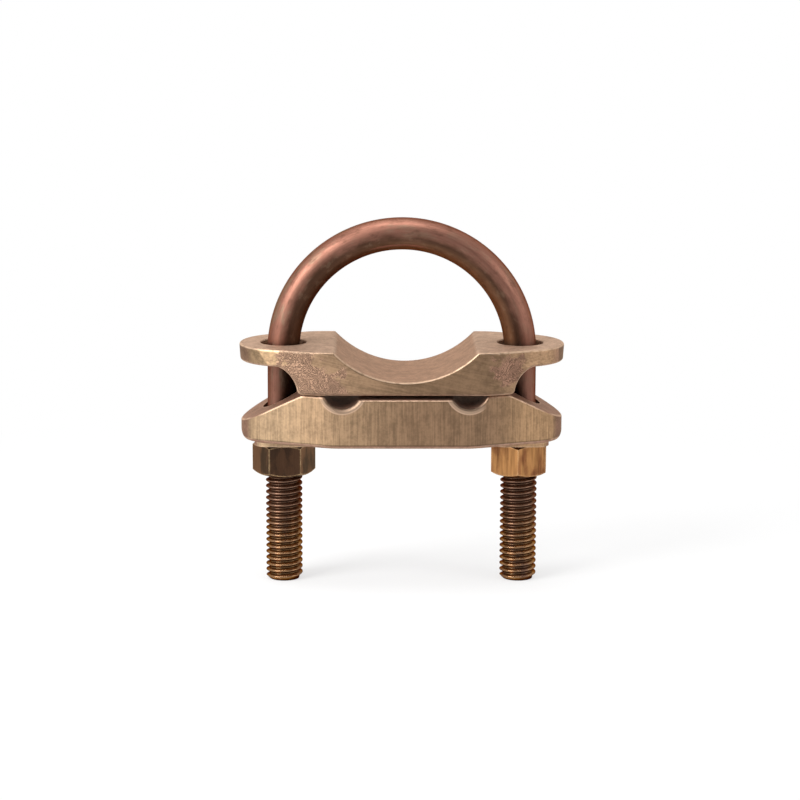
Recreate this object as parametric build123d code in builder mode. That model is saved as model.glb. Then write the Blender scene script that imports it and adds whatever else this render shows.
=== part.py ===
from build123d import *
from math import asin, atan2, cos, hypot, radians, sin, sqrt, tan
import os

# Earthing clamp for a pipe: a U-bolt round the pipe, a saddle that bears on the pipe, a grooved
# keeper that clamps the earth cables under the saddle, and one nut on each leg.
# Millimetres. The origin is the centre of the U-bolt's bend, +Z points to the top of the bend
# and the pipe runs along Y.

# U-bolt
leg_spacing = 60.9
rod_diameter = 8.25
leg_length = 60.1
thread_diameter = 9.5
thread_length = 44.4
leg_end_chamfer = 0.9

# Clearances between the pieces
thread_clearance = 0.05
saddle_hole_clearance = 1.15
keeper_hole_clearance = 0.55
casting_gap = 0.3

# Castings: their middle blocks lie this far to the right of the middle of the legs
block_offset = 0.9

# Saddle, set out from the leg axes: overhangs reach past a leg and setbacks stop short of it
saddle_overhang = 11.35
saddle_depth = 33.2
saddle_thickness = 11.2
saddle_top_height = 2.4
saddle_shoulder_setback = 7.45
saddle_ear_radius = 13.2
saddle_draft_angle = 4.0
ear_thickness = 4.4
foot_setback = 2.95
undercut_reach = 4.8
seat_clearance = 1.2
seat_depth = 7.8

# Keeper, set out in the same way
keeper_overhang = 10.95
keeper_face_setback = 0.2
keeper_thickness = 13.4
keeper_shoulder_setback = 12.45
keeper_end_radius = 10.5
hump_setback = 4.15
slope_drop = 8.0
land_drop = 0.7
groove_setback = 14.25
groove_radius = 4.8
groove_depth = 3.0
groove_flare = 1.2
end_rise = 2.4
end_reach = 2.8
nut_pad_length = 14.8
nut_pad_depth = 16.8
nut_pad_height = 1.1

# Nuts
nut_across_flats = 14.1
nut_thickness = 8.3
nut_face_diameter = 13.4
nut_chamfer_angle = 30.0
bore_chamfer = 0.5
left_nut_turn = 3.5
right_nut_turn = 25.3

# Rounding of edges
shoulder_rounding = 12.0
casting_rounding = 0.6
ridge_rounding = 0.8
foot_rounding = 1.2
ear_rounding = 2.5
hump_rounding = 3.0
groove_lip_rounding = 1.1
underside_rounding = 1.2
nut_pad_rounding = 3.5
hole_rounding = 0.4

# How far a side profile runs past the outline that trims it, and how near a corner must lie to
# the place it is looked for
trim_margin = 5.0
place_tolerance = 0.01

# Places that follow from the sizes above
leg_x = leg_spacing / 2
rod_radius = rod_diameter / 2
thread_radius = thread_diameter / 2
saddle_hole_radius = thread_radius + saddle_hole_clearance
keeper_hole_radius = thread_radius + keeper_hole_clearance
block_plane = Plane.XZ.move(Location((block_offset, 0, 0)))
saddle_tip = leg_x + saddle_overhang
saddle_underside = saddle_top_height - saddle_thickness
ear_underside = saddle_top_height - ear_thickness
saddle_shoulder = leg_x - saddle_shoulder_setback
foot_x = leg_x - foot_setback
undercut_x = foot_x + undercut_reach
seat_radius = leg_x - rod_radius - seat_clearance
seat_bottom = saddle_top_height - seat_depth
seat_half_chord = sqrt(seat_radius**2 - (seat_radius - seat_depth) ** 2)
keeper_tip = leg_x + keeper_overhang
keeper_depth = saddle_depth - 2 * keeper_face_setback
keeper_top = saddle_underside - casting_gap
keeper_underside = keeper_top - keeper_thickness
keeper_shoulder = leg_x - keeper_shoulder_setback
hump_x = leg_x - hump_setback
groove_x = leg_x - groove_setback
groove_height = keeper_top - groove_depth + groove_radius
nut_top = keeper_underside - nut_pad_height
leg_places = [(-leg_x, 0), (leg_x, 0)]


def tapered_outline(tip, side, shoulder, end_radius):
    """Give a plan outline whose straight middle sides taper from the shoulders to round ends."""
    end_centre = tip - end_radius
    reach = hypot(end_centre - shoulder, side)
    taper = atan2(side, end_centre - shoulder) - asin(end_radius / reach)
    tangent_x = end_centre + end_radius * sin(taper)
    tangent_y = end_radius * cos(taper)
    with BuildSketch() as outline:
        with BuildLine():
            for turn in (1, -1):
                Polyline(
                    (-turn * tangent_x, turn * tangent_y),
                    (-turn * shoulder, turn * side),
                    (turn * shoulder, turn * side),
                    (turn * tangent_x, turn * tangent_y),
                )
                ThreePointArc(
                    (turn * tangent_x, turn * tangent_y),
                    (turn * tip, 0),
                    (turn * tangent_x, -turn * tangent_y),
                )
        make_face()
        shoulders = outline.vertices().filter_by(lambda v: abs(v.Y) > (side + tangent_y) / 2)
        fillet(shoulders, radius=shoulder_rounding)
    return outline.sketch


# U-bolt: the rod follows two straight legs and a half circle, and the rolled thread
# stands a little proud of the shank
with BuildPart() as u_bolt:
    with BuildLine(Plane.XZ):
        Line((-leg_x, -leg_length + leg_end_chamfer), (-leg_x, 0))
        ThreePointArc((-leg_x, 0), (0, leg_x), (leg_x, 0))
        Line((leg_x, 0), (leg_x, -leg_length + leg_end_chamfer))
    with BuildSketch(Plane.XY.offset(-leg_length + leg_end_chamfer)):
        with Locations((-leg_x, 0)):
            Circle(rod_radius)
    sweep()
    for x, y in leg_places:
        with BuildSketch(Plane.XZ):
            with BuildLine():
                Polyline(
                    (x, -leg_length),
                    (x + thread_radius - leg_end_chamfer, -leg_length),
                    (x + thread_radius, -leg_length + leg_end_chamfer),
                    (x + thread_radius, -leg_length + thread_length - thread_radius + rod_radius),
                    (x + rod_radius, -leg_length + thread_length),
                    (x, -leg_length + thread_length),
                    close=True,
                )
            make_face()
        revolve(axis=Axis((x, y, 0), (0, 0, 1)))

# Saddle: the side profile, with the pipe seat on top and an undercut beside each leg,
# trimmed to the drafted plan outline of the casting
with BuildPart() as saddle:
    with BuildSketch(block_plane) as saddle_profile:
        with BuildLine():
            for turn in (1, -1):
                Polyline(
                    (turn * seat_half_chord, saddle_top_height),
                    (turn * (saddle_tip + trim_margin), saddle_top_height),
                    (turn * (saddle_tip + trim_margin), ear_underside),
                    (turn * undercut_x, ear_underside),
                )
                TangentArc(
                    (turn * foot_x, saddle_underside),
                    (turn * undercut_x, ear_underside),
                    tangent=(0, 1),
                )
            Line((-foot_x, saddle_underside), (foot_x, saddle_underside))
            ThreePointArc(
                (-seat_half_chord, saddle_top_height),
                (0, seat_bottom),
                (seat_half_chord, saddle_top_height),
            )
        make_face()
        for corner_x, radius in (
            (seat_half_chord, ridge_rounding),
            (undercut_x, ear_rounding),
            (foot_x, foot_rounding),
        ):
            corners = saddle_profile.vertices().filter_by(
                lambda v: abs(abs(v.X) - corner_x) < place_tolerance
            )
            fillet(corners, radius=radius)
    extrude(amount=saddle_depth, both=True)
    with BuildSketch(Plane.XY.offset(saddle_top_height)):
        add(tapered_outline(saddle_tip, saddle_depth / 2, saddle_shoulder, saddle_ear_radius))
    extrude(amount=-saddle_thickness, taper=saddle_draft_angle, mode=Mode.INTERSECT)
    saddle_rim = saddle.edges().filter_by(Axis.Y, reverse=True)
    saddle_rim = saddle_rim.filter_by(GeomType.BEZIER, reverse=True)
    fillet(saddle_rim, radius=casting_rounding)
    with Locations((0, 0, saddle_top_height)):
        with Locations(leg_places):
            Hole(radius=saddle_hole_radius)
    hole_edges = saddle.edges().group_by(Axis.Z)[-1].filter_by(GeomType.CIRCLE)
    hole_edges = hole_edges.filter_by(lambda e: abs(e.radius - saddle_hole_radius) < place_tolerance)
    fillet(hole_edges, radius=hole_rounding)

# Keeper: the grooved side profile, trimmed to its plan outline, with the ends rounded up from
# the underside, a flared mouth at each end of a groove and a pad under each leg hole
slope_end = keeper_top - slope_drop * (keeper_tip + trim_margin - hump_x) / (keeper_tip - hump_x)
with BuildPart() as keeper:
    with BuildSketch(block_plane) as keeper_profile:
        with BuildLine():
            Polyline(
                (-groove_x, keeper_top - land_drop),
                (-groove_x, keeper_top),
                (-hump_x, keeper_top),
                (-keeper_tip - trim_margin, slope_end),
                (-keeper_tip - trim_margin, keeper_underside),
                (keeper_tip + trim_margin, keeper_underside),
                (keeper_tip + trim_margin, slope_end),
                (hump_x, keeper_top),
                (groove_x, keeper_top),
                (groove_x, keeper_top - land_drop),
                close=True,
            )
        make_face()
        with Locations((-groove_x, groove_height), (groove_x, groove_height)):
            Circle(groove_radius, mode=Mode.SUBTRACT)
        humps = keeper_profile.vertices().filter_by(
            lambda v: abs(abs(v.X) - hump_x) < place_tolerance
        )
        fillet(humps, radius=hump_rounding)
        groove_lips = keeper_profile.vertices().filter_by(
            lambda v: abs(abs(v.X) - groove_x) < groove_radius
        )
        fillet(groove_lips, radius=groove_lip_rounding)
    extrude(amount=keeper_depth, both=True)
    with BuildSketch(Plane.XY.offset(keeper_underside)):
        add(tapered_outline(keeper_tip, keeper_depth / 2, keeper_shoulder, keeper_end_radius))
    extrude(amount=keeper_thickness, mode=Mode.INTERSECT)
    keeper_edges = keeper.edges().filter_by(Axis.Y, reverse=True)
    keeper_edges = keeper_edges.filter_by(Axis.Z, reverse=True)
    fillet(keeper_edges.group_by(Axis.Z)[0], radius=underside_rounding)
    keeper_edges = keeper.edges().filter_by(Axis.Y, reverse=True)
    keeper_edges = keeper_edges.filter_by(Axis.Z, reverse=True)
    keeper_rim = keeper_edges.filter_by(
        lambda e: e.center().Z > keeper_underside + underside_rounding + place_tolerance
    )
    fillet(keeper_rim, radius=casting_rounding)
    with BuildSketch(Plane.XZ):
        for turn in (1, -1):
            with BuildLine():
                TangentArc(
                    (turn * (keeper_tip - end_reach), keeper_underside),
                    (turn * keeper_tip, keeper_underside + end_rise),
                    tangent=(turn, 0),
                )
                Polyline(
                    (turn * keeper_tip, keeper_underside + end_rise),
                    (turn * (keeper_tip + trim_margin), keeper_underside + end_rise),
                    (turn * (keeper_tip + trim_margin), keeper_underside),
                    (turn * (keeper_tip - end_reach), keeper_underside),
                )
            make_face()
    extrude(amount=keeper_depth, both=True, mode=Mode.SUBTRACT)
    for centre_x in (block_offset - groove_x, block_offset + groove_x):
        for turn in (1, -1):
            mouth = turn * keeper_depth / 2
            throat = mouth - turn * groove_flare
            with BuildSketch(Plane.XY.offset(groove_height)):
                with BuildLine():
                    Line((centre_x, throat), (centre_x + groove_radius, throat))
                    TangentArc(
                        (centre_x + groove_radius, throat),
                        (centre_x + groove_radius + groove_flare, mouth),
                        tangent=(0, turn),
                    )
                    Polyline(
                        (centre_x + groove_radius + groove_flare, mouth),
                        (centre_x, mouth),
                        (centre_x, throat),
                    )
                make_face()
            revolve(axis=Axis((centre_x, 0, groove_height), (0, 1, 0)), mode=Mode.SUBTRACT)
    with BuildSketch(Plane.XY.offset(nut_top)):
        with Locations(leg_places):
            RectangleRounded(nut_pad_length, nut_pad_depth, nut_pad_rounding)
    extrude(amount=nut_pad_height + underside_rounding)
    with Locations((0, 0, keeper_top)):
        with Locations(leg_places):
            Hole(radius=keeper_hole_radius)


def hex_nut(centre_x, turn):
    """Make one hexagon nut under the keeper, chamfered at both faces and bored for the leg."""
    face_radius = nut_face_diameter / 2
    corner_radius = nut_across_flats / sqrt(3)
    corner_drop = (corner_radius - face_radius) * tan(radians(nut_chamfer_angle))
    bore_radius = thread_radius + thread_clearance
    axis = Axis((centre_x, 0, 0), (0, 0, 1))
    with BuildPart() as nut:
        with BuildSketch(Plane.XY.offset(nut_top)):
            with Locations((centre_x, 0)):
                RegularPolygon(nut_across_flats / 2, 6, major_radius=False, rotation=turn)
        extrude(amount=-nut_thickness)
        with BuildSketch(Plane.XZ):
            with BuildLine():
                Polyline(
                    (centre_x + bore_radius + bore_chamfer, nut_top),
                    (centre_x + face_radius, nut_top),
                    (centre_x + corner_radius, nut_top - corner_drop),
                    (centre_x + corner_radius, nut_top - nut_thickness + corner_drop),
                    (centre_x + face_radius, nut_top - nut_thickness),
                    (centre_x + bore_radius + bore_chamfer, nut_top - nut_thickness),
                    (centre_x + bore_radius, nut_top - nut_thickness + bore_chamfer),
                    (centre_x + bore_radius, nut_top - bore_chamfer),
                    close=True,
                )
            make_face()
        revolve(axis=axis, mode=Mode.INTERSECT)
    return nut


nut_left = hex_nut(-leg_x, left_nut_turn)
nut_right = hex_nut(leg_x, right_nut_turn)

# Write one file for each piece
os.makedirs("parts", exist_ok=True)
u_bolt.part.label = "u_bolt"
export_step(u_bolt.part, "parts/u_bolt.step")
saddle.part.label = "saddle"
export_step(saddle.part, "parts/saddle.step")
keeper.part.label = "keeper"
export_step(keeper.part, "parts/keeper.step")
nut_left.part.label = "nut_left"
export_step(nut_left.part, "parts/nut_left.step")
nut_right.part.label = "nut_right"
export_step(nut_right.part, "parts/nut_right.step")
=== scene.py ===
import math

import bpy
from mathutils import Matrix, Vector


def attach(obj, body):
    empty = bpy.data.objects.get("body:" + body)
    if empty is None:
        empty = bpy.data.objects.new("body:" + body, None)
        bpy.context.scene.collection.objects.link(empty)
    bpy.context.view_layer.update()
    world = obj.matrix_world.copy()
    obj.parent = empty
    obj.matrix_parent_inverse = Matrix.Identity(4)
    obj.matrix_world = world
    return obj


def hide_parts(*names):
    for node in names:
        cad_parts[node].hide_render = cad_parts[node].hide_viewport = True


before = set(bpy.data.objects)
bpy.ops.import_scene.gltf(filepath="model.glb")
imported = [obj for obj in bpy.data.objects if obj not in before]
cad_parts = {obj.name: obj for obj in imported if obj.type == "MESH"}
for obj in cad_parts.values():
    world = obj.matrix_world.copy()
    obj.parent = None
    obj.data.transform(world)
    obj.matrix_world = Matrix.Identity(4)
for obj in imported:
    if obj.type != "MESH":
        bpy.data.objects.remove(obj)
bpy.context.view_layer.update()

# Sizes of the U-bolt, in metres
LEG_X = 0.03045
ROD_RADIUS = 0.004125
THREAD_RADIUS = 0.00475
THREAD_ROOT = 0.00393
THREAD_PITCH = 0.0015875
LEG_END = -0.0601
THREAD_TOP = -0.0157
END_CHAMFER = 0.0009
RUN_OUT = 0.0026

# Thread form over one turn: place along the pitch, and share of the full height there
THREAD_FORM = (
    (0.000, 1.00),
    (0.070, 0.98),
    (0.130, 0.88),
    (0.250, 0.50),
    (0.370, 0.11),
    (0.430, 0.02),
    (0.500, 0.00),
    (0.570, 0.02),
    (0.630, 0.11),
    (0.750, 0.50),
    (0.870, 0.88),
    (0.930, 0.98),
)

# Fineness of the U-bolt's mesh
COLUMNS = 64
BEND_STEPS = 96
SHANK_STEPS = 6

# Row numbers on a threaded leg that lie outside its turns
END_ROW = -2000
CHAMFER_ROW = -1000
TOP_ROW = 1000

# Camera of the photograph: a long lens a little above the clamp and a touch to its left
CAMERA_TARGET = Vector((-0.000427, 0.0, -0.012919))
CAMERA_DISTANCE = 0.7
CAMERA_PITCH = 11.213
CAMERA_YAW = -0.768
CAMERA_ROLL = 0.200
CAMERA_LENS = 121.918
SENSOR_WIDTH = 36.0


def place_camera():
    """Put the camera at the photograph's viewing angle."""
    pitch, yaw, roll = (math.radians(a) for a in (CAMERA_PITCH, CAMERA_YAW, CAMERA_ROLL))
    back = Vector(
        (
            math.sin(yaw) * math.cos(pitch),
            -math.cos(yaw) * math.cos(pitch),
            math.sin(pitch),
        )
    )
    level = Vector((0, 0, 1)).cross(back).normalized()
    upright = back.cross(level)
    right = level * math.cos(roll) + upright * math.sin(roll)
    up = upright * math.cos(roll) - level * math.sin(roll)
    turn = Matrix((right, up, back)).transposed().to_4x4()
    data = bpy.data.cameras.new("camera")
    data.sensor_width = SENSOR_WIDTH
    data.lens = CAMERA_LENS
    camera = bpy.data.objects.new("camera", data)
    camera.matrix_world = Matrix.Translation(CAMERA_TARGET + back * CAMERA_DISTANCE) @ turn
    bpy.context.scene.collection.objects.link(camera)
    bpy.context.scene.camera = camera


place_camera()


# U-bolt with its real thread


def smooth_step(low, high, value):
    """Rise smoothly from 0 at low to 1 at high."""
    t = min(max((value - low) / (high - low), 0.0), 1.0)
    return t * t * (3.0 - 2.0 * t)


def thread_radius(z, share):
    """Radius of the leg at a height, where the thread has that share of its full height."""
    full = THREAD_ROOT + (THREAD_RADIUS - THREAD_ROOT) * share
    fade = smooth_step(THREAD_TOP - RUN_OUT, THREAD_TOP, z)
    radius = full + (ROD_RADIUS - full) * fade
    return min(radius, THREAD_RADIUS - END_CHAMFER + (z - LEG_END))


def form_share(phase):
    """Share of the thread's height at a place along its pitch."""
    phase %= 1.0
    form = THREAD_FORM + ((1.0, THREAD_FORM[0][1]),)
    for (a, low), (b, high) in zip(form, form[1:]):
        if phase <= b:
            return low + (high - low) * (phase - a) / (b - a)
    return 1.0


class RodMesh:
    """Points, faces and the place of each point on the straightened rod."""

    def __init__(self):
        self.points = []
        self.faces = []
        self.places = []

    def point(self, where, place):
        """Add a point and return its number."""
        self.points.append(where)
        self.places.append(place)
        return len(self.points) - 1

    def join_rings(self, lower, upper):
        """Join two rings that have a point for each column."""
        for i in range(COLUMNS):
            n = (i + 1) % COLUMNS
            self.faces.append([lower[i], lower[n], upper[n], upper[i]])

    def join_columns(self, left, right):
        """Join two columns of (row, point) pairs that share their first and last rows."""
        a = b = 0
        while a < len(left) - 1 or b < len(right) - 1:
            next_a = left[a + 1][0] if a < len(left) - 1 else math.inf
            next_b = right[b + 1][0] if b < len(right) - 1 else math.inf
            face = [left[a][1], right[b][1]]
            if next_b <= next_a:
                b += 1
                face.append(right[b][1])
            if next_a <= next_b:
                a += 1
                face.append(left[a][1])
            self.faces.append(face)


def thread_marks(share_of_turn):
    """Row and height of each point up a column of the thread, with its share of the form or None."""
    marks = [(END_ROW, LEG_END, None), (CHAMFER_ROW, LEG_END + END_CHAMFER, None)]
    first_turn = math.floor((LEG_END - THREAD_TOP) / THREAD_PITCH) - 1
    for turn in range(first_turn, 1):
        for k, (phase, share) in enumerate(THREAD_FORM):
            z = THREAD_TOP + (turn + share_of_turn + phase) * THREAD_PITCH
            if LEG_END + END_CHAMFER < z < THREAD_TOP:
                marks.append((turn * len(THREAD_FORM) + k, z, share))
    marks.append((TOP_ROW, THREAD_TOP, None))
    return marks


def one_turn_lower(column):
    """A column with the rows of its thread numbered one turn lower."""
    turn = len(THREAD_FORM)
    return [(row - turn if CHAMFER_ROW < row < TOP_ROW else row, p) for row, p in column]


def threaded_leg(rod, centre_x, along):
    """Add one leg's right-hand thread, and return its top ring by the angle of its points."""
    columns = []
    for i in range(COLUMNS):
        share_of_turn = i / COLUMNS
        angle = 2 * math.pi * share_of_turn
        column = []
        for row, z, share in thread_marks(share_of_turn):
            if share is None:
                share = form_share((z - THREAD_TOP) / THREAD_PITCH - share_of_turn)
            radius = thread_radius(z, share)
            across, sideways = radius * math.cos(angle), radius * math.sin(angle)
            where = (centre_x + across, sideways, z)
            place = (across * along, sideways, along * (THREAD_TOP - z))
            column.append((row, rod.point(where, place)))
        columns.append(column)
    for left, right in zip(columns, columns[1:] + [one_turn_lower(columns[0])]):
        rod.join_columns(left, right)
    rod.faces.append([column[0][1] for column in reversed(columns)])
    return [column[-1][1] for column in columns]


def ring_stations():
    """Centre, outward direction and run along the rod of each smooth ring, left to right."""
    shank = -THREAD_TOP
    whole = shank + math.pi * LEG_X
    heights = [THREAD_TOP + shank * k / SHANK_STEPS for k in range(1, SHANK_STEPS)]
    stations = [(Vector((-LEG_X, 0, z)), Vector((-1, 0, 0)), z - THREAD_TOP) for z in heights]
    for k in range(BEND_STEPS + 1):
        angle = math.pi * k / BEND_STEPS
        outward = Vector((-math.cos(angle), 0, math.sin(angle)))
        stations.append((outward * LEG_X, outward, shank + angle * LEG_X))
    for z in reversed(heights):
        stations.append((Vector((LEG_X, 0, z)), Vector((1, 0, 0)), whole - z))
    return stations


def smooth_ring(rod, centre, outward, run):
    """Add a ring of the unthreaded rod and return its points."""
    ring = []
    for i in range(COLUMNS):
        angle = 2 * math.pi * i / COLUMNS
        across = -math.cos(angle) * ROD_RADIUS
        sideways = math.sin(angle) * ROD_RADIUS
        where = centre + outward * across + Vector((0, sideways, 0))
        ring.append(rod.point(tuple(where), (-across, sideways, -run)))
    return ring


def build_rod():
    """Make the U-bolt as one closed mesh: two threaded legs, their shanks and the bend."""
    rod = RodMesh()
    previous = threaded_leg(rod, -LEG_X, 1.0)
    right_top = threaded_leg(rod, LEG_X, -1.0)
    for centre, outward, run in ring_stations():
        ring = smooth_ring(rod, centre, outward, run)
        rod.join_rings(previous, ring)
        previous = ring
    rod.join_rings(previous, [right_top[(COLUMNS // 2 - i) % COLUMNS] for i in range(COLUMNS)])
    mesh = bpy.data.meshes.new("u_bolt_rod")
    mesh.from_pydata(rod.points, [], rod.faces)
    mesh.polygons.foreach_set("use_smooth", [len(f) < 5 for f in rod.faces])
    place = mesh.attributes.new("rod_place", "FLOAT_VECTOR", "POINT")
    place.data.foreach_set("vector", [v for p in rod.places for v in p])
    mesh.update()
    mesh.validate()
    return mesh


u_bolt_rod = bpy.data.objects.new("u_bolt_rod", build_rod())
bpy.context.scene.collection.objects.link(u_bolt_rod)
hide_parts("u_bolt")
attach(u_bolt_rod, "u_bolt")


# Node helpers. Places inside the materials are in millimetres.

FLOAT = "NodeSocketFloat"
VECTOR = "NodeSocketVector"
MM_IN_M = 1000.0


def add(tree, kind, inputs=None, **settings):
    """Add a node, set it up and feed its sockets with values or with other nodes' sockets."""
    node = tree.nodes.new(kind)
    for name, value in settings.items():
        setattr(node, name, value)
    for name, value in (inputs or {}).items():
        socket = node.inputs[name]
        if isinstance(value, bpy.types.NodeSocket):
            tree.links.new(value, socket)
        else:
            socket.default_value = value
    return node


def new_group(name, inputs, outputs):
    """Start a shader node group with named sockets: its tree, inputs and output node."""
    tree = bpy.data.node_groups.new(name, "ShaderNodeTree")
    for socket, kind in inputs.items():
        tree.interface.new_socket(socket, in_out="INPUT", socket_type=kind)
    for socket, kind in outputs.items():
        tree.interface.new_socket(socket, in_out="OUTPUT", socket_type=kind)
    return tree, tree.nodes.new("NodeGroupInput").outputs, tree.nodes.new("NodeGroupOutput")


def use_group(tree, group, inputs):
    """Place a node group in a tree and return its outputs."""
    return add(tree, "ShaderNodeGroup", inputs, node_tree=group).outputs


def math_node(tree, operation, a, b=0.0, clamp=False):
    """Add a Math node and return its value."""
    node = add(tree, "ShaderNodeMath", {0: a, 1: b}, operation=operation, use_clamp=clamp)
    return node.outputs[0]


def product(tree, *factors):
    """Multiply several values or masks."""
    result = factors[0]
    for factor in factors[1:]:
        result = math_node(tree, "MULTIPLY", result, factor)
    return result


def total(tree, *terms):
    """Add several values."""
    result = terms[0]
    for term in terms[1:]:
        result = math_node(tree, "ADD", result, term)
    return result


def larger(tree, a, b):
    """The larger of two values or masks."""
    return math_node(tree, "MAXIMUM", a, b)


def remap(tree, value, low, high, to_low=0.0, to_high=1.0):
    """Map a value smoothly from one span to another."""
    node = add(
        tree,
        "ShaderNodeMapRange",
        {0: value, 1: low, 2: high, 3: to_low, 4: to_high},
        interpolation_type="SMOOTHSTEP",
    )
    return node.outputs[0]


def between(tree, value, low, full_low, full_high, high):
    """A mask that is 1 between the two inner values and fades out to the outer ones."""
    return product(tree, remap(tree, value, low, full_low), remap(tree, value, high, full_high))


def noise(tree, place, scale, detail, roughness=0.5, distortion=0.0):
    """A noise of so many features to the millimetre."""
    inputs = {
        "Vector": place,
        "Scale": scale,
        "Detail": detail,
        "Roughness": roughness,
        "Distortion": distortion,
    }
    return add(tree, "ShaderNodeTexNoise", inputs).outputs[0]


def mix_value(tree, factor, a, b):
    """Mix two values."""
    return add(tree, "ShaderNodeMix", {0: factor, 2: a, 3: b}, data_type="FLOAT").outputs[0]


def with_alpha(colour):
    """A plain colour's four channels. A socket stays as it is."""
    return colour if isinstance(colour, bpy.types.NodeSocket) else (*colour, 1.0)


def mix_colour(tree, factor, a, b, blend="MIX"):
    """Mix two colours."""
    inputs = {0: factor, 6: with_alpha(a), 7: with_alpha(b)}
    return add(tree, "ShaderNodeMix", inputs, data_type="RGBA", blend_type=blend).outputs[2]


def shaded(tree, colour, shade):
    """Multiply a colour by a grey value."""
    grey = add(tree, "ShaderNodeCombineColor", {0: shade, 1: shade, 2: shade}).outputs[0]
    return mix_colour(tree, 1.0, colour, grey, "MULTIPLY")


def shaded_where(tree, colour, mask, shade):
    """Shade a colour down to a share of itself where the mask is 1."""
    return shaded(tree, colour, remap(tree, mask, 0.0, 1.0, 1.0, shade))


def parts(tree, vector):
    """A vector's three parts."""
    return add(tree, "ShaderNodeSeparateXYZ", {0: vector}).outputs


def absolute_parts(tree, vector):
    """The sizes of a vector's three parts, whatever their sign."""
    return [math_node(tree, "ABSOLUTE", part) for part in parts(tree, vector)]


def vector_math(tree, operation, inputs):
    """Add a Vector Math node and return its outputs."""
    return add(tree, "ShaderNodeVectorMath", inputs, operation=operation).outputs


def stretched(tree, place, factors):
    """The place drawn out by a factor on each axis."""
    return vector_math(tree, "MULTIPLY", {0: place, 1: factors})[0]


def distance(tree, a, b=(0.0, 0.0, 0.0)):
    """Distance between two places."""
    return vector_math(tree, "DISTANCE", {0: a, 1: b})["Value"]


def in_mm(tree, place):
    """A place in millimetres."""
    return vector_math(tree, "SCALE", {0: place, "Scale": MM_IN_M})[0]


def place_in_mm(tree):
    """The object's own place in millimetres, and its own normal."""
    coordinates = tree.nodes.new("ShaderNodeTexCoord").outputs
    return in_mm(tree, coordinates["Object"]), coordinates["Normal"]


# Effects that the metals share

# Factors that flatten a place along one axis
FLAT_IN_Y = (1.0, 0.0, 1.0)
FLAT_IN_Z = (1.0, 1.0, 0.0)

# Rays by which the edge mask, for pale wear and a painted highlight, finds the sharp edges
EDGE_SAMPLES = 6


def make_edge_wear_and_highlight():
    """Group: a mask that is 1 along a sharp edge, broken up along its run, for pale wear that is
    partly a painted highlight.
    """
    tree, given, out = new_group("edge_wear_and_highlight", {"Place": VECTOR, "Width": FLOAT}, {"Mask": FLOAT})
    bevel = add(tree, "ShaderNodeBevel", {"Radius": given["Width"]}, samples=EDGE_SAMPLES)
    normal = tree.nodes.new("ShaderNodeNewGeometry").outputs["Normal"]
    match = vector_math(tree, "DOT_PRODUCT", {0: bevel.outputs[0], 1: normal})["Value"]
    edge = remap(tree, match, 0.995, 0.90)
    breaks = noise(tree, given["Place"], scale=0.7, detail=4.0)
    mask = product(tree, edge, remap(tree, breaks, 0.35, 0.6, 0.35, 1.0))
    tree.links.new(mask, out.inputs["Mask"])
    return tree


def make_rims_wear_and_highlight():
    """Group: a mask that is 1 on the small roundings between a casting's faces and its sides, for
    pale wear that is partly a painted highlight.
    """
    tree, given, out = new_group("rims_wear_and_highlight", {"Place": VECTOR, "Normal": VECTOR}, {"Mask": FLOAT})
    across, along, _ = absolute_parts(tree, given["Place"])
    _, facing_front, facing_up = absolute_parts(tree, given["Normal"])
    turned = between(tree, facing_front, 0.12, 0.3, 0.84, 0.93)
    reach = larger(tree, remap(tree, facing_up, 0.15, 0.35), remap(tree, across, 30.0, 26.0))
    sides = product(tree, turned, reach, remap(tree, along, 8.0, 10.0))
    slanting = between(tree, facing_up, 0.15, 0.3, 0.75, 0.88)
    ends = product(tree, slanting, remap(tree, across, 37.0, 39.0))
    breaks = noise(tree, given["Place"], scale=0.8, detail=4.0)
    patchy = remap(tree, breaks, 0.34, 0.55, 0.45, 1.0)
    tree.links.new(product(tree, larger(tree, sides, ends), patchy), out.inputs["Mask"])
    return tree


def make_ragged_patch():
    """Group: a mask that is 1 round a line along Y, out to a ragged border."""
    tree, given, out = new_group(
        "ragged_patch", {"Place": VECTOR, "Centre": VECTOR, "Radius": FLOAT}, {"Mask": FLOAT}
    )
    place = stretched(tree, given["Place"], FLAT_IN_Y)
    centre = stretched(tree, given["Centre"], FLAT_IN_Y)
    shore = noise(tree, given["Place"], scale=0.3, detail=4.0, roughness=0.6)
    ragged = remap(tree, shore, 0.3, 0.7, -2.2, 2.2)
    gap = total(tree, distance(tree, place, centre), ragged)
    left_over = math_node(tree, "SUBTRACT", given["Radius"], gap)
    tree.links.new(remap(tree, left_over, -0.6, 1.4), out.inputs["Mask"])
    return tree


def make_sand_grain():
    """Group: the skin that a sand mould leaves, fine grained, with flowing wrinkles in places."""
    tree, given, out = new_group(
        "sand_grain", {"Place": VECTOR, "Wrinkle": FLOAT}, {"Height": FLOAT, "Tone": FLOAT}
    )
    place = given["Place"]
    wrinkle_turns, wrinkle_break = 160.0, 0.075
    fine = noise(tree, place, scale=1.5, detail=4.0, roughness=0.65)
    lumps = noise(tree, place, scale=0.4, detail=3.0)
    flow = noise(tree, place, scale=0.2, detail=2.0, roughness=0.5, distortion=0.6)
    broken = product(tree, noise(tree, place, scale=1.2, detail=2.0), wrinkle_break)
    waves = product(tree, total(tree, flow, broken), wrinkle_turns)
    ripple = product(tree, math_node(tree, "SINE", waves), given["Wrinkle"])
    for output, shares in (("Height", (0.5, 0.3, 0.4)), ("Tone", (0.5, 0.5, 0.2))):
        layers = [product(tree, n, share) for n, share in zip((fine, lumps, ripple), shares)]
        tree.links.new(total(tree, *layers), out.inputs[output])
    return tree


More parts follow.
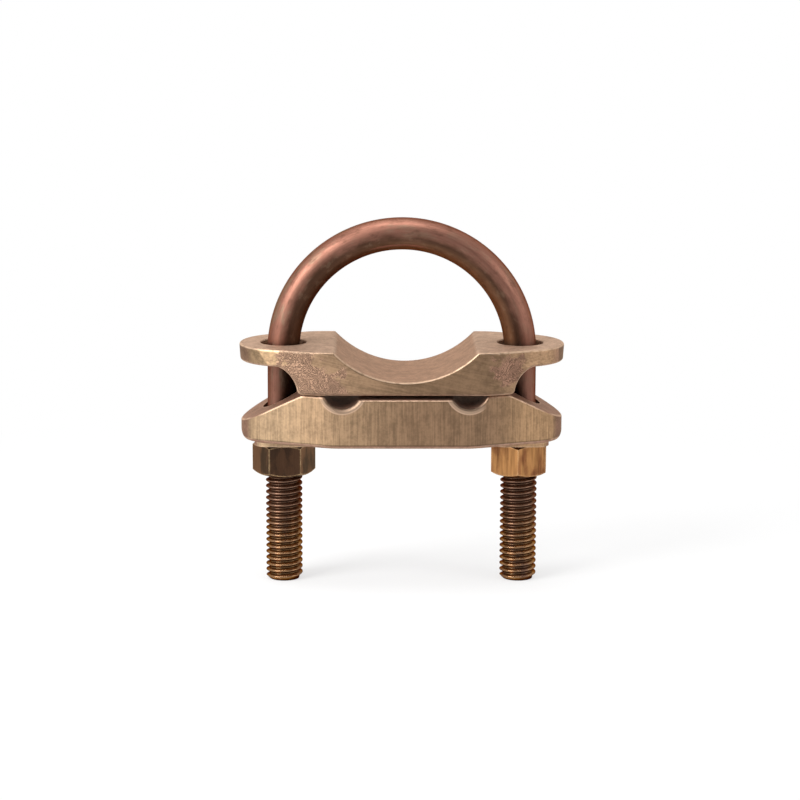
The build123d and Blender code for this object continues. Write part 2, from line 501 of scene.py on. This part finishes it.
def make_grinding_lines():
    """Group: parallel scratches. The place comes in already drawn out along the scratches."""
    tree, given, out = new_group("grinding_lines", {"Place": VECTOR}, {"Height": FLOAT})
    fine = noise(tree, given["Place"], scale=1.9, detail=3.0, roughness=0.65)
    broad = noise(tree, given["Place"], scale=0.5, detail=3.0, roughness=0.6)
    height = total(tree, product(tree, fine, 0.7), product(tree, broad, 0.3))
    tree.links.new(height, out.inputs["Height"])
    return tree


edge_wear_and_highlight = make_edge_wear_and_highlight()
rims_wear_and_highlight = make_rims_wear_and_highlight()
ragged_patch = make_ragged_patch()
sand_grain = make_sand_grain()
grinding_lines = make_grinding_lines()


def new_metal(name, grazing_tint):
    """Start a metal: return the material, its tree and the shader."""
    material = bpy.data.materials.new(name)
    material.use_nodes = True
    tree = material.node_tree
    shader = tree.nodes["Principled BSDF"]
    shader.inputs["Metallic"].default_value = 1.0
    shader.inputs["Specular Tint"].default_value = (*grazing_tint, 1.0)
    return material, tree, shader


def finish_metal(tree, shader, colour, roughness, height, depth_in_mm):
    """Feed a metal's colour, roughness and height into its shader, with a bump of that depth."""
    tree.links.new(colour, shader.inputs["Base Color"])
    tree.links.new(roughness, shader.inputs["Roughness"])
    inputs = {"Strength": 1.0, "Distance": depth_in_mm / MM_IN_M, "Height": height}
    bump = add(tree, "ShaderNodeBump", inputs)
    tree.links.new(bump.outputs[0], shader.inputs["Normal"])


# Castings

# Where a casting's tones change, in millimetres: a height, places across and reach from the middle
SEAT_EDGE = (2.3, 1.5)
WORKED_SPAN = (-30.0, 8.0)
SKIN_SPAN = (-34.0, 24.0)
MIDDLE_SPAN = (-5.0, 5.0)
ENDS_SPAN = (22.0, 33.0)
BORDER_WIDTH = 0.7

# Groove mouths, in millimetres: depth from the middle, and radii round the groove's own line, for a
# painted highlight on the lip and painted shade in the throat
MOUTH_DEPTH = (15.0, 15.8)
MOUTH_HIGHLIGHT = (5.0, 5.4, 6.1, 6.4)
MOUTH_THROAT_SHADE = (4.6, 4.7, 5.9, 6.1)
THROAT_FADE = (4.7, 5.6)

# Width of the pale wear and painted highlight along sharp edges, in metres
CASTING_EDGE_WIDTH = 0.0007
NUT_EDGE_WIDTH = 0.0006


class CastSurface:
    """What a casting's material reads at each point: its place in millimetres and its normal."""

    def __init__(self, tree):
        self.tree = tree
        self.place, self.normal = place_in_mm(tree)
        self.x, _, self.z = parts(tree, self.place)
        self.reach, self.depth, _ = absolute_parts(tree, self.place)
        self.upward = parts(tree, self.normal)[2]
        _, self.facing_front, self.facing_up = absolute_parts(tree, self.normal)


def rough_mask(at, patches):
    """A mask that is 1 on a casting's wrinkled patches."""
    mask = 0.0
    for centre, radius in patches:
        inputs = {"Place": at.place, "Centre": centre, "Radius": radius}
        mask = larger(at.tree, mask, use_group(at.tree, ragged_patch, inputs)["Mask"])
    return mask


def front_mask(at):
    """A mask that is 1 on a casting's front and back faces."""
    tree = at.tree
    facing = remap(tree, at.facing_front, 0.5, 0.72)
    return product(tree, facing, remap(tree, at.upward, -0.4, -0.15))


def grinding(at, line_tilt):
    """Height of the grinding lines, which lean by a tilt in degrees from upright."""
    inputs = {"Vector": at.place, "Angle": math.radians(line_tilt)}
    turned = add(at.tree, "ShaderNodeVectorRotate", inputs, rotation_type="Y_AXIS").outputs[0]
    place = stretched(at.tree, turned, (1.0, 1.0, 0.05))
    return use_group(at.tree, grinding_lines, {"Place": place})["Height"]


def casting_tones(at, tones, front, ground):
    """Tones of a casting's sand-cast skin, and of its ground faces out to their ends. Painted light:
    lighter on the left, darker on the right, lighter again on the slanted ends.
    """
    tree = at.tree
    cast = mix_colour(tree, remap(tree, at.z, *SEAT_EDGE), tones["top"], tones["hollow"])
    # painted light: the skin and the ground faces go from lighter on the left to darker on the right
    along = remap(tree, at.x, *SKIN_SPAN)
    skin = mix_colour(tree, along, tones["rough_left"], tones["rough_right"])
    cast = mix_colour(tree, front, cast, skin)
    worked = mix_colour(tree, remap(tree, at.x, *WORKED_SPAN), tones["left"], tones["right"])
    # painted light: the slanted ends are lighter than the faces beside them
    side = remap(tree, at.x, *MIDDLE_SPAN)
    ends = mix_colour(tree, side, tones["end_left"], tones["end_right"])
    worked = mix_colour(tree, remap(tree, at.reach, *ENDS_SPAN), worked, ends)
    return mix_colour(tree, ground, cast, worked)


def dappled(at, colour, front, speckle):
    """A colour dappled by a speckle, more on the front and back faces."""
    tree = at.tree
    contrast = mix_value(tree, front, 0.16, 0.28)
    swing = product(tree, remap(tree, speckle, 0.38, 0.62, -1.0, 1.0), contrast)
    return shaded(tree, colour, total(tree, 0.98, swing))


def painted_end_shade(at, end):
    """A mask of painted shade past a border near each end, which leans on the left: the ends are
    darkened as if turned from the light.
    """
    tree = at.tree
    lean = remap(tree, at.x, *MIDDLE_SPAN, end["lean"], 0.0)
    border = remap(tree, at.x, *MIDDLE_SPAN, end["reach_left"], end["reach_right"])
    past = math_node(tree, "SUBTRACT", at.reach, product(tree, at.z, lean))
    past = remap(tree, math_node(tree, "SUBTRACT", past, border), 0.0, BORDER_WIDTH)
    return product(tree, past, remap(tree, at.facing_up, 0.6, 0.4))


def lower_lip_painted_shade(at):
    """A mask of painted shade on the rounding that turns down under the front and back faces."""
    tree = at.tree
    turned = between(tree, at.upward, -0.42, -0.3, -0.14, -0.04)
    return product(tree, turned, remap(tree, at.facing_front, 0.6, 0.8))


def casting_wear_and_highlight(at):
    """A mask of a casting's rims and edges, pale from wear and partly a painted highlight, less on
    the underside.
    """
    tree = at.tree
    rims = use_group(tree, rims_wear_and_highlight, {"Place": at.place, "Normal": at.normal})["Mask"]
    edges = use_group(tree, edge_wear_and_highlight, {"Place": at.place, "Width": CASTING_EDGE_WIDTH})["Mask"]
    worn_and_lit = larger(tree, rims, product(tree, edges, 0.8))
    return product(tree, worn_and_lit, remap(tree, at.upward, -0.6, 0.0, 0.45, 1.0))


def groove_mouth_painted_light(at, colour, groove, pale):
    """Paint a highlight on the lip of a groove's mouth, and paint shade into its throat."""
    tree = at.tree
    out = distance(tree, stretched(tree, at.place, FLAT_IN_Y), groove)
    near_face = remap(tree, at.depth, *MOUTH_DEPTH)
    # painted highlight on the lip of the mouth
    painted_highlight = product(tree, near_face, between(tree, out, *MOUTH_HIGHLIGHT))
    colour = mix_colour(tree, product(tree, painted_highlight, 0.85), colour, pale)
    # painted shade in the throat of the groove
    throat_shade = product(tree, near_face, between(tree, out, *MOUTH_THROAT_SHADE))
    shade = remap(tree, out, *THROAT_FADE, 0.2, 0.72)
    return shaded(tree, colour, mix_value(tree, throat_shade, 1.0, shade))


def cast_bronze(name, tones, line_tilt, rough_patches, grooves, end):
    """Cast bronze: ground front and back, sand-cast elsewhere, with painted light and shade, and
    rims pale from wear and partly a painted highlight.
    """
    material, tree, shader = new_metal(name, grazing_tint=(1.0, 0.87, 0.74))
    at = CastSurface(tree)
    rough = rough_mask(at, rough_patches)
    front = front_mask(at)
    ground = math_node(tree, "SUBTRACT", front, rough, clamp=True)
    lines = grinding(at, line_tilt)
    wrinkle = product(tree, rough, front)
    grain = use_group(tree, sand_grain, {"Place": at.place, "Wrinkle": wrinkle})

    colour = casting_tones(at, tones, front, ground)
    speckle = mix_value(tree, product(tree, ground, 0.55), grain["Tone"], lines)
    colour = dappled(at, colour, front, speckle)
    # painted shade on the casting's ends
    colour = shaded_where(tree, colour, painted_end_shade(at, end), end["shade"])
    # painted shade under the front and back faces
    colour = shaded_where(tree, colour, lower_lip_painted_shade(at), 0.6)
    # pale wear on rims and edges, partly a painted highlight
    colour = mix_colour(tree, product(tree, casting_wear_and_highlight(at), 0.8), colour, tones["pale"])
    # painted light and shade at each groove mouth
    for groove in grooves:
        colour = groove_mouth_painted_light(at, colour, groove, tones["pale"])

    roughness = remap(tree, ground, 0.0, 1.0, 0.62, 0.5)
    height = mix_value(tree, ground, grain["Height"], product(tree, lines, 0.3))
    finish_metal(tree, shader, colour, roughness, height, depth_in_mm=0.2)
    return material


# Rod. Inward is positive toward the inside of the bend, and side is the place across the clamp.

# Spans on the shank and the bend, in millimetres
LIT_OUTSIDE = (1.6, -1.8)
GOLDEN_INSIDE = (0.6, 3.4)
GREYED_OUTSIDE = (1.4, -0.6)
HIGHLIGHT_LINE = (2.25, 2.5, 2.75, 3.0)
HIGHLIGHT_LENGTH = (-10.0, -5.5, 3.5, 7.5)
SHADOWED_HEIGHT = (4.5, -5.0)

# Spans on the threads, in millimetres: heights, and distances from the leg's axis
THREAD_START = (THREAD_TOP * MM_IN_M + 0.5, THREAD_TOP * MM_IN_M - 0.5)
COPPER_HEIGHT = (-38.0, -50.0)
ROOT_SPAN = (3.95, 4.45)
CREST_SPAN = (4.35, 4.75)


def shank_colour(tree, place, cloud, inward, side, height, tones):
    """Tarnished copper with grey patches and dark flecks, and painted light: a painted highlight
    outside the bend, painted shade inside it, a painted golden reflection on its inner edge, a
    painted highlight line under the top of the bend and painted shadow below the castings.
    """
    # painted light: a highlight band outside the bend, painted shade towards the inside
    painted_lit_side = remap(tree, inward, *LIT_OUTSIDE)
    painted_lit_side = total(tree, painted_lit_side, remap(tree, cloud, 0.35, 0.65, -0.2, 0.2))
    colour = mix_colour(tree, remap(tree, painted_lit_side, 0.0, 1.0), tones["dark"], tones["warm"])
    # painted reflection: a golden glow on the inside of the bend, as of light thrown up from below
    inner = remap(tree, inward, *GOLDEN_INSIDE)
    inner = product(tree, inner, remap(tree, side, -24.0, 12.0, 0.2, 0.8))
    colour = mix_colour(tree, inner, colour, tones["gold"])

    patch = noise(tree, stretched(tree, place, (0.3, 0.3, 0.1)), 1.3, 4.0, 0.6)
    greyed = remap(tree, patch, 0.5, 0.66)
    greyed = product(tree, greyed, remap(tree, side, 6.0, -12.0, 0.3, 0.75))
    greyed = product(tree, greyed, remap(tree, inward, *GREYED_OUTSIDE))
    colour = mix_colour(tree, greyed, colour, tones["grey"])
    fleck = noise(tree, stretched(tree, place, (1.0, 1.0, 0.6)), 0.5, 4.0, 0.62)
    colour = mix_colour(tree, remap(tree, fleck, 0.52, 0.72, 0.0, 0.42), colour, tones["dark"])
    colour = mix_colour(tree, remap(tree, fleck, 0.46, 0.34, 0.0, 0.18), colour, tones["grey"])

    # painted highlight: a thin light line under the top of the bend
    painted_highlight = between(tree, inward, *HIGHLIGHT_LINE)
    painted_highlight = product(tree, painted_highlight, between(tree, side, *HIGHLIGHT_LENGTH))
    colour = mix_colour(tree, product(tree, painted_highlight, 0.8), colour, tones["warm"])
    # painted shadow: the legs darken below the castings, most on the inside
    under_castings = remap(tree, height, *SHADOWED_HEIGHT)
    painted_shadow = remap(tree, inward, -3.4, 0.8, 0.85, 0.25)
    return shaded(tree, colour, mix_value(tree, under_castings, 1.0, painted_shadow))


def thread_colour(tree, place, copper_share, tones):
    """Brown flanks, more copper towards the leg's end, with painted shade in the roots and a painted
    highlight on the crests.
    """
    from_axis = distance(tree, stretched(tree, place, FLAT_IN_Z))
    colour = mix_colour(tree, copper_share, tones["brown"], tones["copper"])
    # painted shade in the thread's roots
    root_shade = mix_value(tree, copper_share, 0.55, 0.38)
    colour = shaded(tree, colour, remap(tree, from_axis, *ROOT_SPAN, root_shade, 1.0))
    # painted highlight on the crests
    crest_highlight = product(tree, remap(tree, from_axis, *CREST_SPAN), 0.25)
    return mix_colour(tree, crest_highlight, colour, tones["crest_highlight"])


def drawn_copper(name, tones):
    """Tarnished copper rod with streaks along it and painted light on its shank, and a darker thread
    with painted shade in its roots and a painted highlight on its crests.
    """
    material, tree, shader = new_metal(name, grazing_tint=(0.3, 0.2, 0.15))
    stored = add(tree, "ShaderNodeAttribute", attribute_name="rod_place").outputs["Vector"]
    place = in_mm(tree, stored)
    inward = parts(tree, place)[0]
    side, _, height = parts(tree, place_in_mm(tree)[0])
    along = stretched(tree, place, (1.0, 1.0, 0.08))
    lines = use_group(tree, grinding_lines, {"Place": along})["Height"]
    cloud = noise(tree, stretched(tree, place, (0.22, 0.22, 0.09)), 1.0, 5.0, 0.6)

    threaded = remap(tree, height, *THREAD_START)
    # the thread turns more copper, and glossier, towards the leg's end
    copper_share = remap(tree, height, *COPPER_HEIGHT)
    copper_share = product(tree, copper_share, remap(tree, cloud, 0.36, 0.52))
    shank = shank_colour(tree, place, cloud, inward, side, height, tones)
    colour = mix_colour(tree, threaded, shank, thread_colour(tree, place, copper_share, tones))
    colour = shaded(tree, colour, remap(tree, lines, 0.3, 0.7, 0.86, 1.14))

    thread_roughness = mix_value(tree, copper_share, 0.36, 0.26)
    roughness = remap(tree, cloud, 0.3, 0.7, 0.54, 0.42)
    roughness = mix_value(tree, threaded, roughness, thread_roughness)
    finish_metal(tree, shader, colour, roughness, lines, depth_in_mm=0.02)
    return material


# Nuts


def nut_bronze(name, base, deep, pale, streaks, front_flat_shade):
    """Machined nut: drawn streaks along its flats, clouds of tarnish, painted shade on the flats
    that face front and back, and pale corners from wear and a painted highlight.
    """
    material, tree, shader = new_metal(name, grazing_tint=(1.0, 0.85, 0.7))
    place, normal = place_in_mm(tree)
    facing_front = absolute_parts(tree, normal)[1]
    along = stretched(tree, place, (0.7, 0.7, 0.05))
    lines = use_group(tree, grinding_lines, {"Place": along})["Height"]
    cloud = noise(tree, stretched(tree, place, (1.0, 1.0, 0.45)), 0.26, 4.0)
    stripe = noise(tree, stretched(tree, place, (0.5, 0.5, 0.04)), 1.2, 2.0)

    # painted shade: flats that face front and back are darkened
    tarnish_and_shade = remap(tree, facing_front, 0.75, 0.9, 0.0, front_flat_shade)
    tarnish_and_shade = larger(tree, tarnish_and_shade, remap(tree, cloud, 0.42, 0.62))
    colour = mix_colour(tree, tarnish_and_shade, base, deep)
    striped = remap(tree, stripe, 0.55, 0.66, 0.0, 2.0 * streaks)
    colour = mix_colour(tree, striped, colour, deep)
    shade = remap(tree, lines, 0.32, 0.68, 1.0 - streaks, 1.0 + streaks)
    colour = shaded(tree, colour, shade)
    # pale wear on the nut's corners, partly a painted highlight
    edge_pale = use_group(tree, edge_wear_and_highlight, {"Place": place, "Width": NUT_EDGE_WIDTH})["Mask"]
    colour = mix_colour(tree, edge_pale, colour, pale)

    roughness = remap(tree, cloud, 0.3, 0.7, 0.34, 0.46)
    finish_metal(tree, shader, colour, roughness, lines, depth_in_mm=0.03)
    return material


# Tones of each piece, and in millimetres the places and reaches of its own marks

# The castings' left, right, rough and end tones hold painted light, lighter on the left and darker
# on the right
SADDLE_TONES = {
    "top": (0.46, 0.315, 0.23),
    "hollow": (0.385, 0.235, 0.158),
    "left": (0.43, 0.28, 0.17),
    "right": (0.22, 0.138, 0.082),
    "rough_left": (0.43, 0.275, 0.187),
    "rough_right": (0.325, 0.19, 0.13),
    "end_left": (0.57, 0.385, 0.225),
    "end_right": (0.42, 0.265, 0.156),
    "pale": (0.62, 0.445, 0.315),
}
SADDLE_ROUGH = (
    ((-26.0, 0.0, -4.0), 6.5),
    ((-19.5, 0.0, -7.0), 5.5),
    ((27.2, 0.0, -2.0), 3.9),
)
# reaches, lean and depth of the painted shade on the saddle's ends
SADDLE_END_SHADE = {"reach_left": 34.9, "reach_right": 39.6, "lean": 0.65, "shade": 0.55}

KEEPER_TONES = {
    "top": (0.33, 0.19, 0.135),
    "hollow": (0.33, 0.19, 0.135),
    "left": (0.45, 0.3, 0.178),
    "right": (0.252, 0.157, 0.094),
    "rough_left": (0.42, 0.27, 0.19),
    "rough_right": (0.32, 0.20, 0.14),
    "end_left": (0.45, 0.31, 0.188),
    "end_right": (0.40, 0.25, 0.138),
    "pale": (0.62, 0.43, 0.305),
}
KEEPER_GROOVES = ((-15.3, 0.0, -7.3), (17.1, 0.0, -7.3))
# reaches, lean and depth of the painted shade on the keeper's ends
KEEPER_END_SHADE = {"reach_left": 38.3, "reach_right": 38.3, "lean": 0.0, "shade": 0.78}

ROD_TONES = {
    "dark": (0.07, 0.034, 0.021),
    "warm": (0.295, 0.137, 0.097),
    "gold": (0.24, 0.125, 0.068),
    "grey": (0.27, 0.185, 0.125),
    "brown": (0.195, 0.108, 0.07),
    "crest_highlight": (0.23, 0.145, 0.105),
    "copper": (0.345, 0.192, 0.09),
}


def dress_node(node, material):
    """Give a CAD node one material through its object's own slots."""
    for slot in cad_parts[node].material_slots:
        slot.material = material


u_bolt_rod.data.materials.append(drawn_copper("drawn_copper", ROD_TONES))
dress_node(
    "saddle",
    cast_bronze(
        "saddle_bronze",
        SADDLE_TONES,
        line_tilt=78.0,
        rough_patches=SADDLE_ROUGH,
        grooves=(),
        end=SADDLE_END_SHADE,
    ),
)
dress_node(
    "keeper",
    cast_bronze(
        "keeper_bronze",
        KEEPER_TONES,
        line_tilt=0.0,
        rough_patches=(),
        grooves=KEEPER_GROOVES,
        end=KEEPER_END_SHADE,
    ),
)
dress_node(
    "nut_left",
    nut_bronze(
        "nut_dark_bronze",
        base=(0.135, 0.065, 0.034),
        deep=(0.044, 0.025, 0.016),
        pale=(0.55, 0.37, 0.2),
        streaks=0.12,
        front_flat_shade=0.75,
    ),
)
dress_node(
    "nut_right",
    nut_bronze(
        "nut_gold_bronze",
        base=(0.40, 0.196, 0.074),
        deep=(0.2, 0.078, 0.034),
        pale=(0.62, 0.37, 0.18),
        streaks=0.3,
        front_flat_shade=0.0,
    ),
)


# Floor, backdrop and light. Reaches are in metres.

FLOOR_REACH = 8.0
SHADOW_REACH = (0.09, 0.22)
LIT_SHARE = 0.35
WHITE = (1.0, 1.0, 1.0, 1.0)


def looked_at(tree, behind):
    """A mask that is 1 for rays from the camera, and for mirrored rays that meet what is behind."""
    path = tree.nodes.new("ShaderNodeLightPath").outputs
    mirrored = product(tree, path["Is Glossy Ray"], behind)
    return larger(tree, path["Is Camera Ray"], mirrored)


def make_floor():
    """A plain white floor under the ends of the legs, which is clear from below."""
    mesh = bpy.data.meshes.new("floor")
    corners = ((-1, -1), (1, -1), (1, 1), (-1, 1))
    points = [(x * FLOOR_REACH, y * FLOOR_REACH, LEG_END) for x, y in corners]
    mesh.from_pydata(points, [], [(0, 1, 2, 3)])
    floor = bpy.data.objects.new("floor", mesh)
    bpy.context.scene.collection.objects.link(floor)

    material = bpy.data.materials.new("floor_white")
    material.use_nodes = True
    tree = material.node_tree
    shader = tree.nodes["Principled BSDF"]
    shader.inputs["Base Color"].default_value = (0.85, 0.85, 0.85, 1.0)
    shader.inputs["Roughness"].default_value = 0.9
    shader.inputs["Specular IOR Level"].default_value = 0.1
    white = add(tree, "ShaderNodeEmission", {"Color": WHITE, "Strength": 1.0})
    clear = tree.nodes.new("ShaderNodeBsdfTransparent")

    place = tree.nodes.new("ShaderNodeTexCoord").outputs["Object"]
    seen = looked_at(tree, remap(tree, parts(tree, place)[1], -0.12, 0.02))
    from_middle = distance(tree, stretched(tree, place, FLAT_IN_Z))
    share = remap(tree, from_middle, *SHADOW_REACH, 1.0 - LIT_SHARE, 1.0)
    share = product(tree, seen, share)
    top = add(tree, "ShaderNodeMixShader", {0: share, 1: shader.outputs[0], 2: white.outputs[0]})
    below = tree.nodes.new("ShaderNodeNewGeometry").outputs["Backfacing"]
    both = add(tree, "ShaderNodeMixShader", {0: below, 1: top.outputs[0], 2: clear.outputs[0]})
    tree.links.new(both.outputs[0], tree.nodes["Material Output"].inputs["Surface"])
    mesh.materials.append(material)


def make_world():
    """White where it is looked at or mirrored from behind, and a soft room light elsewhere."""
    world = bpy.data.worlds.new("studio")
    bpy.context.scene.world = world
    world.use_nodes = True
    tree = world.node_tree
    tree.nodes.clear()
    direction = tree.nodes.new("ShaderNodeTexCoord").outputs["Generated"]
    backward = parts(tree, direction)[1]
    seen = looked_at(tree, remap(tree, backward, -0.1, 0.5))
    level = remap(tree, backward, -0.7, 0.4, 0.3, 0.8)
    strength = mix_value(tree, seen, level, 1.0)
    background = add(tree, "ShaderNodeBackground", {"Color": WHITE, "Strength": strength})
    output = tree.nodes.new("ShaderNodeOutputWorld")
    tree.links.new(background.outputs[0], output.inputs["Surface"])


def soft_box(name, where, size, power):
    """A large soft lamp that faces the clamp."""
    data = bpy.data.lights.new(name, "AREA")
    data.shape = "RECTANGLE"
    data.size, data.size_y = size
    data.energy = power
    lamp = bpy.data.objects.new(name, data)
    lamp.location = where
    aim = CAMERA_TARGET - Vector(where)
    lamp.rotation_mode = "QUATERNION"
    lamp.rotation_quaternion = aim.to_track_quat("-Z", "Y")
    bpy.context.scene.collection.objects.link(lamp)


make_floor()
make_world()
soft_box("lamp_left", (-0.42, -0.3, 0.3), (0.3, 0.4), 3.4)
soft_box("lamp_right", (0.6, -0.3, 0.25), (0.3, 0.5), 1.0)
soft_box("lamp_top", (-0.05, -0.05, 0.7), (0.5, 0.3), 2.4)

bpy.context.scene.view_settings.view_transform = "Standard"
